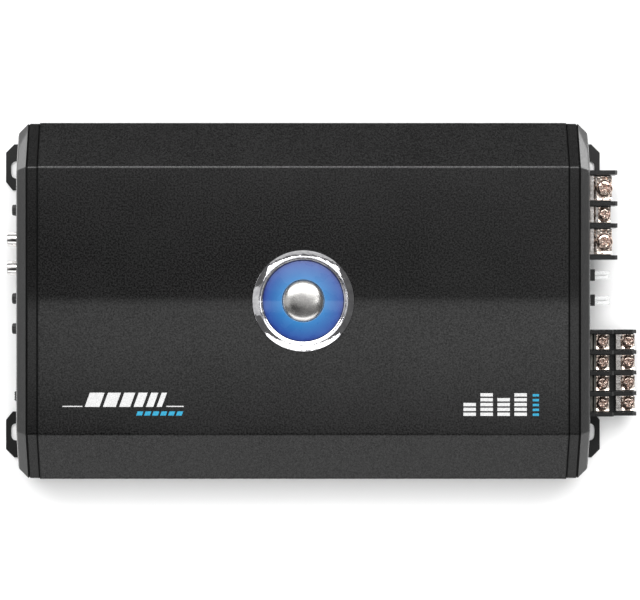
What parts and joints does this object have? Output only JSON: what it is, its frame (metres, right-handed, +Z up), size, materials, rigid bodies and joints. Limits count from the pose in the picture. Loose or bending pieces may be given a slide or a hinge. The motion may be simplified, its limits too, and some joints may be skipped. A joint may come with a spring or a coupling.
{
  "type": "car amplifier",
  "caption": "Car audio amplifier: black sloped case with a round badge, phono inputs and level knobs at one end, screw terminals and blade fuses at the other.",
  "frame": {"origin": "centre of the bottom plate's underside, on the surface the amplifier is fastened to", "axes": "+X towards the end with the power and speaker terminals, +Y towards the side that is uppermost in the picture, +Z up through the badge"},
  "size_m": [0.3729, 0.208, 0.0582],
  "materials": {
    "shell_coat": "fine-textured satin black coating on an aluminium extrusion",
    "plate_coat": "satin black powder coat on sheet steel",
    "end_cap_plastic": "moulded, satin black with a fine grain",
    "panel_coat": "matt black painted sheet",
    "black_screw_steel": "black oxide",
    "badge_chrome": "polished",
    "badge_lens_blue": "clear blue moulded lens",
    "terminal_plastic": "moulded black, slightly glossy",
    "nickel_plate": "bright nickel plating",
    "pot_plastic": "moulded",
    "status_lens": "clear blue light pipe",
    "circuit_board": "glass-fibre laminate with green solder resist",
    "copper_winding": "enamelled copper wire on a ring core",
    "capacitor_sleeve": "shrink sleeve over an aluminium can",
    "transistor_plastic": "moulded transistor bodies under a painted clamp bar",
    "control_plastic": "moulded black",
    "fuse_clear": "clear moulded fuse body",
    "terminal_screw_nickel": "bright nickel plated steel"
  },
  "bodies": {
    "amplifier": {"heatsink_shell": "shell_coat", "bottom_plate": "plate_coat", "input_end_cap": "end_cap_plastic", "output_end_cap": "end_cap_plastic", "input_panel": "panel_coat", "output_panel": "panel_coat", "base_screw_front_left": "black_screw_steel", "base_screw_front_right": "black_screw_steel", "base_screw_rear_left": "black_screw_steel", "base_screw_rear_right": "black_screw_steel", "input_cap_screw_front": "black_screw_steel", "input_cap_screw_rear": "black_screw_steel", "output_cap_screw_front": "black_screw_steel", "output_cap_screw_rear": "black_screw_steel", "badge_bezel": "badge_chrome", "badge_lens": "badge_lens_blue", "badge_hub": "badge_chrome", "rca_block": "terminal_plastic", "rca_jack_front_left": "nickel_plate", "rca_jack_front_right": "nickel_plate", "rca_jack_rear_left": "nickel_plate", "rca_jack_rear_right": "nickel_plate", "front_crossover_pot": "pot_plastic", "rear_crossover_pot": "pot_plastic", "front_gain_pot": "pot_plastic", "rear_gain_pot": "pot_plastic", "front_filter_switch_body": "nickel_plate", "rear_filter_switch_body": "nickel_plate", "remote_port": "terminal_plastic", "status_light": "status_lens", "power_terminal_block": "terminal_plastic", "speaker_terminal_block": "terminal_plastic", "fuse_block": "terminal_plastic", "main_board": "circuit_board", "control_board": "circuit_board", "power_transformer": "copper_winding", "output_choke": "copper_winding", "capacitor_front": "capacitor_sleeve", "capacitor_rear": "capacitor_sleeve", "transistor_bar_front": "transistor_plastic", "transistor_bar_rear": "transistor_plastic"},
    "front_crossover_knob": {"front_crossover_knob": "control_plastic"},
    "rear_crossover_knob": {"rear_crossover_knob": "control_plastic"},
    "front_gain_knob": {"front_gain_knob": "control_plastic"},
    "rear_gain_knob": {"rear_gain_knob": "control_plastic"},
    "front_filter_slider": {"front_filter_slider": "control_plastic"},
    "rear_filter_slider": {"rear_filter_slider": "control_plastic"},
    "fuse_upper": {"fuse_upper": "fuse_clear"},
    "fuse_lower": {"fuse_lower": "fuse_clear"},
    "supply_screw": {"supply_screw": "terminal_screw_nickel"},
    "remote_screw": {"remote_screw": "terminal_screw_nickel"},
    "ground_screw": {"ground_screw": "terminal_screw_nickel"},
    "speaker_screw_inner_1": {"speaker_screw_inner_1": "terminal_screw_nickel"},
    "speaker_screw_inner_2": {"speaker_screw_inner_2": "terminal_screw_nickel"},
    "speaker_screw_inner_3": {"speaker_screw_inner_3": "terminal_screw_nickel"},
    "speaker_screw_inner_4": {"speaker_screw_inner_4": "terminal_screw_nickel"},
    "speaker_screw_outer_1": {"speaker_screw_outer_1": "terminal_screw_nickel"},
    "speaker_screw_outer_2": {"speaker_screw_outer_2": "terminal_screw_nickel"},
    "speaker_screw_outer_3": {"speaker_screw_outer_3": "terminal_screw_nickel"},
    "speaker_screw_outer_4": {"speaker_screw_outer_4": "terminal_screw_nickel"}
  },
  "joints": [
    {"name": "front_crossover_turn", "type": "hinge", "parent": "amplifier", "child": "front_crossover_knob", "pos_m": [-0.1592, 0.0531, 0.031], "axis": [1, 0, 0], "range_deg": [-140, 140]},
    {"name": "rear_crossover_turn", "type": "hinge", "parent": "amplifier", "child": "rear_crossover_knob", "pos_m": [-0.1592, 0.0531, 0.017], "axis": [1, 0, 0], "range_deg": [-140, 140]},
    {"name": "front_gain_turn", "type": "hinge", "parent": "amplifier", "child": "front_gain_knob", "pos_m": [-0.1592, 0.0014, 0.031], "axis": [1, 0, 0], "range_deg": [-140, 140]},
    {"name": "rear_gain_turn", "type": "hinge", "parent": "amplifier", "child": "rear_gain_knob", "pos_m": [-0.1592, -0.0162, 0.031], "axis": [1, 0, 0], "range_deg": [-140, 140]},
    {"name": "front_filter_slide", "type": "slide", "parent": "amplifier", "child": "front_filter_slider", "axis": [0, 1, 0], "range_m": [-0.002, 0.002]},
    {"name": "rear_filter_slide", "type": "slide", "parent": "amplifier", "child": "rear_filter_slider", "axis": [0, 1, 0], "range_m": [-0.002, 0.002]},
    {"name": "fuse_upper_pull", "type": "slide", "parent": "amplifier", "child": "fuse_upper", "axis": [1, 0, 0], "range_m": [0, 0.016]},
    {"name": "fuse_lower_pull", "type": "slide", "parent": "amplifier", "child": "fuse_lower", "axis": [1, 0, 0], "range_m": [0, 0.016]},
    {"name": "supply_screw_turn", "type": "hinge", "parent": "amplifier", "child": "supply_screw", "pos_m": [0.1765, 0.06595, 0.03], "axis": [0, 0, 1], "range_deg": [0, 1350]},
    {"name": "remote_screw_turn", "type": "hinge", "parent": "amplifier", "child": "remote_screw", "pos_m": [0.1765, 0.05045, 0.03], "axis": [0, 0, 1], "range_deg": [0, 1350]},
    {"name": "ground_screw_turn", "type": "hinge", "parent": "amplifier", "child": "ground_screw", "pos_m": [0.1765, 0.0347, 0.03], "axis": [0, 0, 1], "range_deg": [0, 1350]},
    {"name": "speaker_screw_inner_1_turn", "type": "hinge", "parent": "amplifier", "child": "speaker_screw_inner_1", "pos_m": [0.1755, -0.02405, 0.0288], "axis": [0, 0, 1], "range_deg": [0, 1350]},
    {"name": "speaker_screw_inner_2_turn", "type": "hinge", "parent": "amplifier", "child": "speaker_screw_inner_2", "pos_m": [0.1755, -0.03615, 0.0288], "axis": [0, 0, 1], "range_deg": [0, 1350]},
    {"name": "speaker_screw_inner_3_turn", "type": "hinge", "parent": "amplifier", "child": "speaker_screw_inner_3", "pos_m": [0.1755, -0.04825, 0.0288], "axis": [0, 0, 1], "range_deg": [0, 1350]},
    {"name": "speaker_screw_inner_4_turn", "type": "hinge", "parent": "amplifier", "child": "speaker_screw_inner_4", "pos_m": [0.1755, -0.06035, 0.0288], "axis": [0, 0, 1], "range_deg": [0, 1350]},
    {"name": "speaker_screw_outer_1_turn", "type": "hinge", "parent": "amplifier", "child": "speaker_screw_outer_1", "pos_m": [0.1919, -0.02405, 0.0173], "axis": [0, 0, 1], "range_deg": [0, 1350]},
    {"name": "speaker_screw_outer_2_turn", "type": "hinge", "parent": "amplifier", "child": "speaker_screw_outer_2", "pos_m": [0.1919, -0.03615, 0.0173], "axis": [0, 0, 1], "range_deg": [0, 1350]},
    {"name": "speaker_screw_outer_3_turn", "type": "hinge", "parent": "amplifier", "child": "speaker_screw_outer_3", "pos_m": [0.1919, -0.04825, 0.0173], "axis": [0, 0, 1], "range_deg": [0, 1350]},
    {"name": "speaker_screw_outer_4_turn", "type": "hinge", "parent": "amplifier", "child": "speaker_screw_outer_4", "pos_m": [0.1919, -0.06035, 0.0173], "axis": [0, 0, 1], "range_deg": [0, 1350]}
  ]
}
